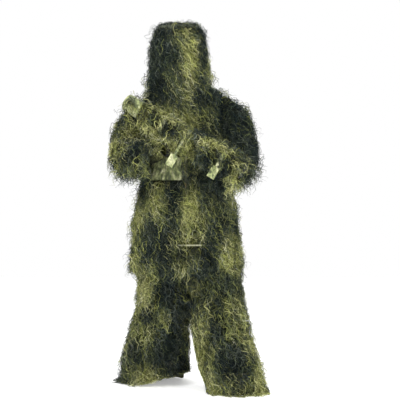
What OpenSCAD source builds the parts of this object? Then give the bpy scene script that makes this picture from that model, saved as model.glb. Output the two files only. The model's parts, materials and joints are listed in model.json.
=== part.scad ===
// Ghillie suit: hood with face veil, jacket, trousers and a rifle wrap, in a standing pose.
// Millimetres, +Z up, front of the suit towards -Y, wearer's left towards +X.
// The soft pieces are closed shells whose outside is the cloth with the base of its threads.

/* [Cloth] */
// Thickness of the cloth with the base of its threads
wall = 8; // [6:1:10]
// Thickness of webbing, tape and elastic
tape_t = 2.5; // [2:0.5:3]
// Sides of a body ring, a multiple of 16
body_sides = 32; // [32:16:48]
// Sides of a sleeve or leg ring
tube_sides = 20; // [16:4:24]

/* [Heights] */
// Cut between each thigh and shin
knee_z = 440; // [430:5:450]
// Lower edge of the jacket's cloth
hem_z = 620; // [600:5:640]
// Lower edge of the trouser seat
crotch_z = 700; // [690:5:710]
// Lower edge of the gathered waist
waist_low_z = 1016; // [1010:1:1020]
// Upper edge of the gathered waist
waist_top_z = 1126; // [1120:1:1140]
// Lower edge of the hood
hood_z = 1500; // [1495:1:1510]

/* [Zip] */
// Width of one zip tape
zip_tape_w = 15; // [12:1:18]
// Width of the closed row of teeth
teeth_w = 6; // [5:0.5:7]
// Thickness of the teeth
teeth_t = 2.4; // [2:0.2:3]
// Lower end of the teeth
zip_low_z = 720; // [700:5:740]
// Upper end of the teeth
zip_top_z = 1316; // [1300:4:1320]
// Clearance between the slider and the teeth
slide_gap = 0.4; // [0.3:0.1:0.5]
// Length of the slider
slider_l = 22; // [18:1:26]
// Length of the pull
pull_l = 32; // [26:1:38]

/* [Rifle wrap] */
// Radius of the wrap's fabric tube
wrap_r = 40; // [36:1:42]
// Width of the webbing straps
strap_w = 20; // [15:1:25]

/* [Hidden] */

// The rings below are drawn about the torso's axis, and this shift centres the suit on the origin.
shift = [1, 40, 0];
// Exponent of the oval rings: 2 is an ellipse, and a higher value is squarer.
oval_power = 2.3;
// Gap left between a body and the one that turns or slides against it
joint_gap = 0.4;

// The jacket's front edge is one straight line, so that the zip can run along it.
front_low = [-168, 700];
front_slope = 50 / 700;
torso_x = -15;
function front_y(z) = front_low[0] + (z - front_low[1]) * front_slope;
front_tilt = atan(front_slope);
// A jacket ring from its height, half width, half depth and centre x
function jacket_ring(z, half_w, half_d, x = torso_x) = [z, x, front_y(z) + half_d, half_w, half_d];

// Level rings: [z, centre x, centre y, half width, half depth]
SKIRT = [jacket_ring(hem_z, 256, 182), jacket_ring(700, 250, 176), jacket_ring(780, 242, 170),
    jacket_ring(900, 225, 160), jacket_ring(waist_low_z, 198, 148)];
WAIST = [jacket_ring(waist_low_z, 190, 146), jacket_ring(1070, 176, 142), jacket_ring(waist_top_z, 174, 141)];
SIDES = [jacket_ring(waist_top_z, 180, 144), jacket_ring(1200, 181, 140), jacket_ring(1270, 181, 136)];
CHEST = [jacket_ring(1270, 181, 136), jacket_ring(1330, 181, 128), jacket_ring(1400, 172, 116)];
YOKE = [jacket_ring(1400, 172, 116), jacket_ring(1440, 160, 108, -20), jacket_ring(1462, 116, 98, -37)];
COLLAR = [jacket_ring(1463, 100, 90, -40), jacket_ring(1492, 94, 86, -42)];
SEAT = [[crotch_z, 0, 5, 214, 140], [780, -6, 5, 206, 142], [900, -10, 5, 190, 136], [1000, -12, 5, 166, 124]];
RIGHT_THIGH = [[knee_z, -128, 40, 114, 118], [560, -122, 20, 114, 126], [crotch_z, -109, 5, 103, 132]];
LEFT_THIGH = [[knee_z, 136, -5, 116, 118], [560, 123, 0, 113, 126], [crotch_z, 109, 5, 103, 132]];
RIGHT_SHIN = [[0, -178, 170, 160, 134], [150, -164, 130, 148, 130], [300, -142, 85, 128, 122],
    [knee_z - joint_gap, -128, 40, 114, 118]];
LEFT_SHIN = [[0, 232, -105, 130, 130], [150, 188, -72, 130, 124], [300, 154, -36, 126, 120],
    [knee_z - joint_gap, 136, -5, 116, 118]];
head_x = -50;
HOOD_SIDES = [[hood_z, head_x, 5, 120, 118], [1560, head_x, 0, 130, 128], [1630, head_x, 0, 125, 130],
    [1690, head_x, 0, 115, 126]];
HOOD_CROWN = [[1690, head_x, 0, 115, 126], [1740, head_x, 2, 105, 116], [1768, head_x, 2, 88, 99],
    [1780, head_x, 2, 58, 68]];
// Ring columns from the middle of the front to each edge of the face opening
face_columns = 4;
// Ring columns from the middle of each side to the edges of the armhole
arm_columns = 2;

// Sleeve rings: [centre, direction, radius]. The first lies in a plane across X, where the arm turns.
right_arm_x = -201;
left_arm_x = 171;
RIGHT_ARM = [[[right_arm_x, 0, 1352], [-1, 0, 0], 82], [[-252, -6, 1312], [-0.7, -0.05, -0.7], 74],
    [[-296, -24, 1226], [-0.25, -0.25, -0.93], 68], [[-303, -74, 1150], [0.25, -0.75, -0.6], 68],
    [[-252, -140, 1126], [0.72, -0.68, -0.06], 62], [[-178, -205, 1138], [0.73, -0.65, 0.17], 54],
    [[-108, -262, 1158], [0.73, -0.65, 0.21], 43]];
LEFT_ARM = [[[left_arm_x, 0, 1358], [1, 0, 0], 82], [[222, -6, 1318], [0.7, -0.05, -0.7], 74],
    [[244, -22, 1228], [0.2, -0.25, -0.93], 66], [[258, -72, 1150], [0, -0.78, -0.62], 64],
    [[244, -135, 1104], [-0.3, -0.8, -0.5], 58], [[208, -190, 1068], [-0.5, -0.78, -0.38], 50],
    [[166, -238, 1040], [-0.6, -0.72, -0.34], 42]];
elbow_row = 3;

// The wrap's axis from the stock's end to its mouth
wrap_start = [-301, -190, 1390];
wrap_end = [250, -345, 1050];
wrap_dir = (wrap_end - wrap_start) / norm(wrap_end - wrap_start);
wrap_l = norm(wrap_end - wrap_start);
// Length of the sock over the stock
stock_l = 95;
wrap_wall = 5;
// Sides of the wrap's round pieces
wrap_sides = 24;
// Places of the three straps, as shares of the wrap's length
strap_places = [0.33, 0.52, 0.82];
// Distance from the wrap's axis to the tip of a strap's loose end, on the middle and the front strap
tab_reach = [150, 96];
// Length and width of the label of cloth at the tip, and width of the tail that it hangs on
tab_l = 58;
tab_w = 38;
tail_w = 12;

// Colours
light_olive = [0.46, 0.49, 0.26];
mid_olive = [0.3, 0.33, 0.18];
dark_green = [0.1, 0.13, 0.09];
camo_cloth = [0.62, 0.64, 0.42];
tape_green = [0.2, 0.23, 0.14];
elastic_black = [0.08, 0.08, 0.08];
brass = [0.5, 0.42, 0.22];

function unit(v) = v / norm(v);
function squared(t) = sign(t) * pow(abs(t), 2 / oval_power);
// Points of a level ring, from the front and towards the wearer's left. grow moves them outwards.
// A panel that ends at the front seam stops a hair short of it, so that the two ends don't touch.
seam = 0.01;
function level_points(ring, sides, grow = 0, first = 0, last = undef) =
    [for (i = [first:is_undef(last) ? sides - 1 : last])
        let (column = is_undef(last) ? i : max(seam, min(sides - seam, i)), a = 360 * column / sides - 90)
        [ring[1] + (ring[3] + grow) * squared(cos(a)), ring[2] + (ring[4] + grow) * squared(sin(a)), ring[0]]];
// Points of a sleeve ring. Its first point is on the shoulder's top and on the elbow's outside.
function arm_points(ring, sides, grow = 0) =
    let (n = unit(ring[1]), u = unit(cross([0, 1, 0], n)), v = cross(n, u))
    [for (i = [0:sides - 1])
        let (a = 360 * i / sides)
        ring[0] + (ring[2] + grow) * (cos(a) * u + sin(a) * v)];

function mean(points) = [for (axis = [0:2]) sum([for (p = points) p[axis]]) / len(points)];
function sum(numbers, i = 0) = i == len(numbers) ? 0 : numbers[i] + sum(numbers, i + 1);

// A thin wall between an outer and an inner grid of points, given as rows from low to high.
// closed joins the last column to the first, and lid fills the top row.
module grid_shell(outer, inner, closed = true, lid = false) {
    rows = len(outer);
    cols = len(outer[0]);
    steps = closed ? cols - 1 : cols - 2;
    inside = rows * cols;
    function at(r, c) = r * cols + c % cols;
    function quad(a, b, c, d) = [[a, b, c], [a, c, d]];
    wall_faces = [for (r = [0:rows - 2], c = [0:steps])
        each concat(quad(at(r, c), at(r + 1, c), at(r + 1, c + 1), at(r, c + 1)),
            quad(inside + at(r, c), inside + at(r, c + 1), inside + at(r + 1, c + 1), inside + at(r + 1, c)))];
    low_faces = [for (c = [0:steps])
        each quad(at(0, c), at(0, c + 1), inside + at(0, c + 1), inside + at(0, c))];
    top = rows - 1;
    middle = 2 * inside;
    top_faces = lid
        ? [for (c = [0:steps])
            each [[middle, at(top, c + 1), at(top, c)],
                [middle + 1, inside + at(top, c), inside + at(top, c + 1)]]]
        : [for (c = [0:steps])
            each quad(at(top, c + 1), at(top, c), inside + at(top, c), inside + at(top, c + 1))];
    end = cols - 1;
    end_faces = closed ? [] : [for (r = [0:rows - 2])
        each concat(quad(at(r + 1, 0), at(r, 0), inside + at(r, 0), inside + at(r + 1, 0)),
            quad(at(r, end), at(r + 1, end), inside + at(r + 1, end), inside + at(r, end)))];
    lid_points = lid ? [mean(outer[top]), mean(inner[top])] : [];
    polyhedron(points = concat([for (row = outer) each row], [for (row = inner) each row], lid_points),
        faces = concat(wall_faces, low_faces, top_faces, end_faces));
}

module in_frame() {
    translate(shift) children();
}

// A closed tube through level rings
module level_tube(rings, sides, thickness = wall, grow = 0) {
    grid_shell([for (r = rings) level_points(r, sides, grow)],
        [for (r = rings) level_points(r, sides, grow - thickness)]);
}

// A panel of such a tube, from one column to another
module level_panel(rings, first, last, thickness = wall, grow = 0) {
    grid_shell([for (r = rings) level_points(r, body_sides, grow, first, last)],
        [for (r = rings) level_points(r, body_sides, grow - thickness, first, last)], closed = false);
}

module arm_tube(rings, thickness = wall, grow = 0) {
    grid_shell([for (r = rings) arm_points(r, tube_sides, grow)],
        [for (r = rings) arm_points(r, tube_sides, grow - thickness)]);
}

// The rings from one index to another
function part_of(rings, first, last) = [for (i = [first:last]) rings[i]];
// A ring between two rings
function between(a, b, t) = a * (1 - t) + b * t;

quarter = body_sides / 4;

module hood_crown() {
    color(mid_olive) in_frame()
        grid_shell([for (r = HOOD_CROWN) level_points(r, body_sides)],
            [for (i = [0:3]) level_points(HOOD_CROWN[i] - (i == 3 ? [wall, 0, 0, 0, 0] : [0, 0, 0, 0, 0]),
                body_sides, -wall)], lid = true);
}

// The sides wrap round from one edge of the face opening to the other.
module hood_sides() {
    color(mid_olive) in_frame() level_panel(HOOD_SIDES, face_columns, body_sides - face_columns);
}

module hood_edge_elastic() {
    ring = HOOD_SIDES[0];
    raised = ring + [14, 0, 0, 1, 1];
    color(elastic_black) in_frame()
        level_panel([ring + [1, 0, 0, 0, 0], raised], face_columns, body_sides - face_columns, tape_t, -wall - 0.5);
}

// The veil's rows hang in front of the face opening, and its oval narrows downwards.
veil_low_z = 1345;
veil_top_z = 1742;
veil_rows = 6;
veil_columns = 10;
veil_spread = [19, 46];
veil_half_w = 132;
veil_half_d = [160, 148];
function veil_row(t, grow) =
    let (spread = between(veil_spread[0], veil_spread[1], sqrt(t)),
        half_d = between(veil_half_d[0], veil_half_d[1], t) + grow,
        x = between(-20, head_x, min(1, 2 * t)))
    [for (c = [0:veil_columns])
        let (a = spread * (2 * c / veil_columns - 1))
        [x + (veil_half_w + grow) * sin(a), -half_d * cos(a), between(veil_low_z, veil_top_z, t)]];

module face_veil() {
    color(dark_green) in_frame()
        grid_shell([for (r = [0:veil_rows]) veil_row(r / veil_rows, 0)],
            [for (r = [0:veil_rows]) veil_row(r / veil_rows, -wall)], closed = false);
}

// The band sewn across the brow, from which the veil hangs
module veil_brow_band() {
    rows = [veil_top_z + 1, veil_top_z + 19];
    color(tape_green) in_frame()
        grid_shell([for (z = rows) [for (p = veil_row(1, 0)) [p[0], p[1], z]]],
            [for (z = rows) [for (p = veil_row(1, -2 * tape_t)) [p[0], p[1], z]]], closed = false);
}

module collar() {
    color(dark_green) in_frame() level_panel(COLLAR, 1, body_sides - 1, wall / 2);
}

module jacket_yoke() {
    color(dark_green) in_frame() level_panel(YOKE, 0, body_sides);
}

module jacket_chest_right() {
    color(mid_olive) in_frame() level_panel(CHEST, 3 * quarter + arm_columns, body_sides);
}

module jacket_chest_left() {
    color(dark_green) in_frame() level_panel(CHEST, 0, quarter - arm_columns);
}

module jacket_back() {
    color(mid_olive) in_frame() level_panel(CHEST, quarter + arm_columns, 3 * quarter - arm_columns);
}

module jacket_sides() {
    color(dark_green) in_frame() level_panel(SIDES, 0, body_sides);
}

module waist_gather() {
    color(camo_cloth) in_frame() level_panel(WAIST, 0, body_sides, wall - 2);
}

module waist_elastic() {
    low = WAIST[1];
    color(elastic_black) in_frame()
        level_panel([low, low + [30, 0, 30 * front_slope, 0, 0]], 1, body_sides - 1, tape_t, -wall);
}

module skirt_front_right() {
    color(light_olive) in_frame() level_panel(SKIRT, 3 * quarter, body_sides);
}

module skirt_front_left() {
    color(dark_green) in_frame() level_panel(SKIRT, 0, quarter);
}

module skirt_back() {
    color(mid_olive) in_frame() level_panel(SKIRT, quarter, 3 * quarter);
}

// The pale tape sewn round the outside of the jacket's cloth edge, above its fringe
module skirt_hem_tape() {
    low = between(SKIRT[1], SKIRT[2], 0.02);
    top = between(SKIRT[1], SKIRT[2], 0.1);
    color(camo_cloth) in_frame() level_tube([low, top], body_sides, tape_t, tape_t + 0.3);
}

// Places its children on the zip's line at a height, with local z up the line and -y to the front.
module on_zip(z) {
    in_frame() translate([torso_x, front_y(z), z]) rotate([-front_tilt, 0, 0]) children();
}

zip_l = (zip_top_z - zip_low_z) / cos(front_tilt);
tape_front = -joint_gap - tape_t / 2;

module zip_tape(side) {
    color(tape_green) on_zip(zip_low_z)
        translate([side > 0 ? teeth_w / 2 + 0.2 : -teeth_w / 2 - 0.2 - zip_tape_w, tape_front, 0])
        cube([zip_tape_w, tape_t / 2, zip_l]);
}

module zip_tape_right() {
    zip_tape(-1);
}

module zip_tape_left() {
    zip_tape(1);
}

// The closed chain is one bar with a groove between every two pairs of teeth.
tooth_pitch = 8;
module zip_teeth() {
    groove = 1;
    color(brass) on_zip(zip_low_z) difference() {
        translate([-teeth_w / 2, -joint_gap - teeth_t, 0]) cube([teeth_w, teeth_t, zip_l]);
        for (z = [tooth_pitch:tooth_pitch:zip_l - tooth_pitch])
            translate([-teeth_w / 2 - 1, -joint_gap - teeth_t - 1, z]) cube([teeth_w + 2, 1 + groove, groove]);
    }
}

slider_t = 2;
slider_low_z = zip_top_z - slider_l - 4;
hinge_r = 1.6;
// Depth of the slider's front face and of the pull's hinge in front of the zip's line
slider_front = joint_gap + teeth_t + slide_gap + slider_t;
hinge_depth = slider_front + 2.6;
hinge_height = 12;

// A plate over the teeth with an edge down each side, and a bridge that holds the pull
module zip_slider() {
    inner_w = teeth_w + 2 * slide_gap;
    edge_depth = 1.4;
    color(brass) on_zip(slider_low_z) difference() {
        union() {
            translate([-inner_w / 2 - 1.5, -slider_front, 0])
                cube([inner_w + 3, slider_t + edge_depth, slider_l]);
            for (side = [-1, 1])
                translate([side * 3.4 - 0.8, -hinge_depth - hinge_r - 0.8, hinge_height - 3])
                    cube([1.6, hinge_depth + hinge_r + 0.8 - slider_front + 0.1, 6]);
            translate([-3.4, -hinge_depth, hinge_height]) rotate([0, 90, 0]) cylinder(r = 0.9, h = 6.8, $fn = 32);
        }
        translate([-inner_w / 2, -slider_front + slider_t, -1])
            cube([inner_w, edge_depth + 1, slider_l + 2]);
    }
}

// A tongue with a round eye on the slider's pin
module zip_pull() {
    eye_w = 4.4;
    tongue_w = 7;
    color(brass) on_zip(slider_low_z) translate([0, -hinge_depth, hinge_height]) difference() {
        union() {
            translate([-eye_w / 2, 0, 0]) rotate([0, 90, 0]) cylinder(r = hinge_r, h = eye_w, $fn = 32);
            translate([-eye_w / 2, -hinge_r, -6]) cube([eye_w, hinge_r, 6]);
            translate([-tongue_w / 2, -hinge_r, -pull_l]) cube([tongue_w, hinge_r, pull_l - 6]);
        }
        translate([-eye_w, 0, 0]) rotate([0, 90, 0]) cylinder(r = 0.95, h = 2 * eye_w, $fn = 32);
        translate([-1.5, -hinge_r - 1, -pull_l + 3]) cube([3, hinge_r + 2, 8]);
    }
}

// A cuff's elastic sits inside the last stretch of a sleeve.
module cuff_elastic(arm) {
    last = len(arm) - 1;
    color(elastic_black) in_frame()
        arm_tube([between(arm[last - 1], arm[last], 0.7), between(arm[last - 1], arm[last], 0.98)],
            tape_t, -wall - 0.5);
}

module right_upper_sleeve() {
    color(dark_green) in_frame() arm_tube(part_of(RIGHT_ARM, 0, elbow_row));
}

module right_forearm_sleeve() {
    color(light_olive) in_frame() arm_tube(part_of(RIGHT_ARM, elbow_row, len(RIGHT_ARM) - 1));
}

module right_cuff_elastic() {
    cuff_elastic(RIGHT_ARM);
}

module left_upper_sleeve() {
    color(dark_green) in_frame() arm_tube(part_of(LEFT_ARM, 0, elbow_row));
}

module left_forearm_sleeve() {
    color(mid_olive) in_frame() arm_tube(part_of(LEFT_ARM, elbow_row, len(LEFT_ARM) - 1));
}

module left_cuff_elastic() {
    cuff_elastic(LEFT_ARM);
}

module trouser_seat() {
    color(mid_olive) in_frame() level_tube(SEAT, body_sides);
}

module trouser_waist_elastic() {
    low = between(SEAT[2], SEAT[3], 0.6);
    color(elastic_black) in_frame() level_tube([low, SEAT[3]], body_sides, tape_t, -wall - 0.5);
}

module right_thigh() {
    color(light_olive) in_frame() level_tube(RIGHT_THIGH, tube_sides);
}

module left_thigh() {
    color(mid_olive) in_frame() level_tube(LEFT_THIGH, tube_sides);
}

// The right hem is raised towards its front and inside, where cloth rides up on the boot.
hem_lift = 60;
hem_lift_angle = -45;
function lifted(points, ring) =
    [for (p = points)
        let (a = atan2(p[1] - ring[2], p[0] - ring[1]))
        p + [0, 0, hem_lift * pow(max(0, cos(a - hem_lift_angle)), 3)]];

function hem_row(rings, grow, lift) =
    let (points = level_points(rings[0], tube_sides, grow)) lift ? lifted(points, rings[0]) : points;

module right_shin() {
    function rows(grow) = concat([hem_row(RIGHT_SHIN, grow, true)],
        [for (i = [1:3]) level_points(RIGHT_SHIN[i], tube_sides, grow)]);
    color(mid_olive) in_frame() grid_shell(rows(0), rows(-wall));
}

module left_shin() {
    color(light_olive) in_frame() level_tube(LEFT_SHIN, tube_sides);
}

// A tape sewn inside a trouser hem, above the floor
module hem_tape(rings, lift) {
    grow = -wall - 1.5;
    function rows(grow) = [for (t = [0.5, 0.66])
        between(hem_row(rings, grow, lift), level_points(rings[1], tube_sides, grow), t)];
    color(camo_cloth) in_frame() grid_shell(rows(grow), rows(grow - tape_t));
}

module right_hem_tape() {
    hem_tape(RIGHT_SHIN, true);
}

module left_hem_tape() {
    hem_tape(LEFT_SHIN, false);
}

// Places its children on the wrap's axis at a distance from the stock's end, with local z along it.
module on_wrap(distance) {
    tilt = acos(wrap_dir[2]);
    turn = atan2(wrap_dir[1], wrap_dir[0]);
    in_frame() translate(wrap_start + wrap_dir * distance) rotate([0, tilt, turn]) children();
}

// The wrap's tube is two panels that meet along its top and bottom. Local +y is the side towards the jacket.
module wrap_panel(side) {
    color(dark_green) on_wrap(stock_l + 1) difference() {
        cylinder(r = wrap_r, h = wrap_l - stock_l - 1, $fn = wrap_sides);
        translate([0, 0, -1]) cylinder(r = wrap_r - wrap_wall, h = wrap_l, $fn = wrap_sides);
        translate([-2 * wrap_r, side > 0 ? joint_gap / 2 - 4 * wrap_r : -joint_gap / 2, -1])
            cube([4 * wrap_r, 4 * wrap_r, wrap_l]);
    }
}

module wrap_front_panel() {
    wrap_panel(-1);
}

module wrap_back_panel() {
    wrap_panel(1);
}

// The sock over the stock, closed at its end
module wrap_stock_cover() {
    color(camo_cloth) on_wrap(0) difference() {
        cylinder(r = wrap_r + wrap_wall - 1, h = stock_l, $fn = wrap_sides);
        translate([0, 0, wrap_wall - 1]) cylinder(r = wrap_r - 1, h = stock_l, $fn = wrap_sides);
    }
}

module wrap_mouth_elastic() {
    elastic_l = 14;
    r = wrap_r - wrap_wall - 0.8;
    color(elastic_black) on_wrap(wrap_l - elastic_l - 2) difference() {
        cylinder(r = r, h = elastic_l, $fn = wrap_sides);
        translate([0, 0, -1]) cylinder(r = r - tape_t, h = elastic_l + 2, $fn = wrap_sides);
    }
}

// A webbing band round the wrap's tube
module wrap_strap(place) {
    color(camo_cloth) on_wrap(place * wrap_l) difference() {
        cylinder(r = wrap_r + tape_t, h = strap_w, $fn = wrap_sides);
        translate([0, 0, -1]) cylinder(r = wrap_r + 0.4, h = strap_w + 2, $fn = wrap_sides);
    }
}

module wrap_strap_rear() {
    wrap_strap(strap_places[0]);
}

module wrap_strap_middle() {
    wrap_strap(strap_places[1]);
}

module wrap_strap_front() {
    wrap_strap(strap_places[2]);
}

// A strap's loose end hangs down in front of the band, as a narrow tail with a wide end.
// Local +x on the wrap points down.
module wrap_tab(place, reach) {
    start = wrap_r * 0.35;
    front = -wrap_r - 2 * tape_t - 0.5;
    color(camo_cloth) on_wrap(place * wrap_l + strap_w / 2) union() {
        translate([start, front, -tail_w / 2]) cube([reach - tab_l - start + 1, tape_t, tail_w]);
        translate([reach - tab_l, front, -tab_w / 2]) cube([tab_l, tape_t, tab_w]);
    }
}

module wrap_tab_rear() {
    wrap_tab(strap_places[1], tab_reach[0]);
}

module wrap_tab_front() {
    wrap_tab(strap_places[2], tab_reach[1]);
}

hood_crown();
hood_sides();
hood_edge_elastic();
veil_brow_band();
face_veil();
collar();
jacket_yoke();
jacket_chest_right();
jacket_chest_left();
jacket_back();
jacket_sides();
waist_gather();
waist_elastic();
skirt_front_right();
skirt_front_left();
skirt_back();
skirt_hem_tape();
zip_tape_right();
zip_tape_left();
zip_teeth();
zip_slider();
zip_pull();
right_upper_sleeve();
right_forearm_sleeve();
right_cuff_elastic();
left_upper_sleeve();
left_forearm_sleeve();
left_cuff_elastic();
trouser_seat();
trouser_waist_elastic();
right_thigh();
left_thigh();
right_shin();
left_shin();
right_hem_tape();
left_hem_tape();
wrap_front_panel();
wrap_back_panel();
wrap_stock_cover();
wrap_mouth_elastic();
wrap_strap_rear();
wrap_strap_middle();
wrap_strap_front();
wrap_tab_rear();
wrap_tab_front();
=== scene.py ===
"""The looks of the ghillie suit: its cloth, nets, tapes and jute threads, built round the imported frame.

Everything is in metres in the frame of the CAD part: +Z up, -Y the suit's front, +X the wearer's left.
"""

import json
import math

import bmesh
import bpy
import numpy as np
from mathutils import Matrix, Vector
from mathutils.bvhtree import BVHTree


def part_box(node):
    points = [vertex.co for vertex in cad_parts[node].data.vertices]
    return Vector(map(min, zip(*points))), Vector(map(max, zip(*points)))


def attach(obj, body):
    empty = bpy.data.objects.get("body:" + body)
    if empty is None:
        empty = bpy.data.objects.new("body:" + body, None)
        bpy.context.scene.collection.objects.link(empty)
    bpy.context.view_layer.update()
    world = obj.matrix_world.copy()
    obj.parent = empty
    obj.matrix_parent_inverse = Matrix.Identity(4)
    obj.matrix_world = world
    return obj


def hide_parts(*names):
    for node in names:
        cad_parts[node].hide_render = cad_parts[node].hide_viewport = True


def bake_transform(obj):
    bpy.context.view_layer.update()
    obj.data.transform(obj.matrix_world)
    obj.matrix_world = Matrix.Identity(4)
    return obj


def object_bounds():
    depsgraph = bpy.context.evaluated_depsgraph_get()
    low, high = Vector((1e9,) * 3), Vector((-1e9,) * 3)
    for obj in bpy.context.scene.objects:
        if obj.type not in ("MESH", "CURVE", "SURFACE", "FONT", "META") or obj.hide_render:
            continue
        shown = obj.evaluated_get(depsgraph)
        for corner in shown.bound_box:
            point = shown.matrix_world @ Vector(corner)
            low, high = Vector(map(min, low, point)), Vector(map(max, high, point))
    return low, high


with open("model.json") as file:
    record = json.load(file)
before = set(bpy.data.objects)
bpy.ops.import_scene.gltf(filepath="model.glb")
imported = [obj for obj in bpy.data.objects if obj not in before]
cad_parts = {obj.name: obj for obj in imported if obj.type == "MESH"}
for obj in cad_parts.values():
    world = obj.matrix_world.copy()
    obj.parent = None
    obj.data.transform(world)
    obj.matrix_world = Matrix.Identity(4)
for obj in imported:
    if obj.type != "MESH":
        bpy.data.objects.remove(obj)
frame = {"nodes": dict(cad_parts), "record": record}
cad_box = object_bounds()

DOWN = np.array([0.0, 0.0, -1.0])
# The torso's axis
TORSO_X, TORSO_Y = -0.014, 0.040


# ---------------------------------------------------------------- camera, light and floor

CAMERA_X, CAMERA_HEIGHT = 0.055, 0.921
CAMERA_DISTANCE = 5.0
LENS_MM, SENSOR_MM = 91.35, 36.0

LAMPS_AIM = (0, 0, 1.0)
# Each lamp's name, place, width and power
LAMPS = [
    ("key", (-1.6, -3.2, 3.2), 1.6, 120),
    ("fill", (2.6, -2.6, 1.8), 2.0, 50),
    ("top", (0.3, 0.6, 3.6), 2.0, 60),
]

FLOOR_WIDTH = 14
FLOOR_Z = -0.001


def add_camera():
    """A level camera in front of the suit, at the photograph's distance and height."""
    data = bpy.data.cameras.new("camera")
    data.sensor_width = SENSOR_MM
    data.lens = LENS_MM
    camera = bpy.data.objects.new("camera", data)
    camera.location = (CAMERA_X, TORSO_Y - CAMERA_DISTANCE, CAMERA_HEIGHT)
    camera.rotation_euler = (math.pi / 2, 0, 0)
    bpy.context.collection.objects.link(camera)
    bpy.context.scene.camera = camera


def add_lamp(name, place, width, power):
    data = bpy.data.lights.new(name, "AREA")
    data.shape = "DISK"
    data.size = width
    data.energy = power
    lamp = bpy.data.objects.new(name, data)
    lamp.location = place
    lamp.rotation_euler = (Vector(LAMPS_AIM) - Vector(place)).to_track_quat("-Z", "Y").to_euler()
    bpy.context.collection.objects.link(lamp)


def add_studio():
    """A pale floor, an even white surround and three soft lamps."""
    world = bpy.data.worlds.new("studio")
    world.use_nodes = True
    background = world.node_tree.nodes["Background"]
    background.inputs["Color"].default_value = (1, 1, 1, 1)
    background.inputs["Strength"].default_value = 1.0
    bpy.context.scene.world = world
    bpy.context.scene.view_settings.view_transform = "Standard"
    for lamp in LAMPS:
        add_lamp(*lamp)
    bpy.ops.mesh.primitive_plane_add(size=FLOOR_WIDTH, location=(0, 0, FLOOR_Z))
    floor = bpy.context.object
    floor.name = "floor"
    floor.data.materials.append(floor_material())


# ---------------------------------------------------------------- helpers for materials

# A wave texture of scale 1 has this many bands in a metre.
BANDS_AT_SCALE_1 = 20


def new_material(name, roughness, metallic=0.0, sheen=0.0, shine=0.5):
    material = bpy.data.materials.new(name)
    material.use_nodes = True
    shader = material.node_tree.nodes["Principled BSDF"]
    shader.inputs["Roughness"].default_value = roughness
    shader.inputs["Metallic"].default_value = metallic
    shader.inputs["Sheen Weight"].default_value = sheen
    shader.inputs["Specular IOR Level"].default_value = shine
    return material, material.node_tree, shader


def grey(level):
    return (level, level, level)


def place_nodes(tree, scale=(1, 1, 1)):
    """Object coordinates, stretched by scale."""
    coordinates = tree.nodes.new("ShaderNodeTexCoord")
    mapping = tree.nodes.new("ShaderNodeMapping")
    mapping.inputs["Scale"].default_value = scale
    tree.links.new(coordinates.outputs["Object"], mapping.inputs["Vector"])
    return mapping.outputs["Vector"]


def tint_of(tree):
    """The colour that a mesh holds at each of its points."""
    node = tree.nodes.new("ShaderNodeAttribute")
    node.attribute_name = "tint"
    return node.outputs["Color"]


def noise(tree, vector, scale, detail=3.0, distortion=0.0):
    node = tree.nodes.new("ShaderNodeTexNoise")
    node.inputs["Scale"].default_value = scale
    node.inputs["Detail"].default_value = detail
    node.inputs["Distortion"].default_value = distortion
    tree.links.new(vector, node.inputs["Vector"])
    return node.outputs["Fac"]


def waves(tree, vector, direction, bands_per_metre, distortion, detail_scale=1.0):
    node = tree.nodes.new("ShaderNodeTexWave")
    node.bands_direction = direction
    node.inputs["Scale"].default_value = bands_per_metre / BANDS_AT_SCALE_1
    node.inputs["Distortion"].default_value = distortion
    node.inputs["Detail Scale"].default_value = detail_scale
    tree.links.new(vector, node.inputs["Vector"])
    return node.outputs["Fac"]


def ramp(tree, value, stops, hard=False):
    """Colours along a value. stops are (place, colour) pairs."""
    node = tree.nodes.new("ShaderNodeValToRGB")
    node.color_ramp.interpolation = "CONSTANT" if hard else "LINEAR"
    elements = node.color_ramp.elements
    while len(elements) < len(stops):
        elements.new(0.5)
    for element, (place, colour) in zip(elements, stops):
        element.position = place
        element.color = (*colour, 1)
    tree.links.new(value, node.inputs["Fac"])
    return node.outputs["Color"]


def multiplied(tree, first, second):
    """The product of two colours."""
    node = tree.nodes.new("ShaderNodeMix")
    node.data_type = "RGBA"
    node.blend_type = "MULTIPLY"
    factor, a, b = node.inputs[0], node.inputs[6], node.inputs[7]
    factor.default_value = 1.0
    tree.links.new(first, a)
    tree.links.new(second, b)
    return node.outputs[2]


def add_bump(tree, height, strength, distance, shader):
    bump = tree.nodes.new("ShaderNodeBump")
    bump.inputs["Strength"].default_value = strength
    bump.inputs["Distance"].default_value = distance
    tree.links.new(height, bump.inputs["Height"])
    tree.links.new(bump.outputs["Normal"], shader.inputs["Normal"])


# ---------------------------------------------------------------- materials

CAMO_GREENS = [(0.10, 0.12, 0.05), (0.24, 0.28, 0.11), (0.37, 0.40, 0.18), (0.50, 0.51, 0.29)]
CAMO_BLOTCHES_PER_METRE = 26
WEAVE_PER_METRE = 900


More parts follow.
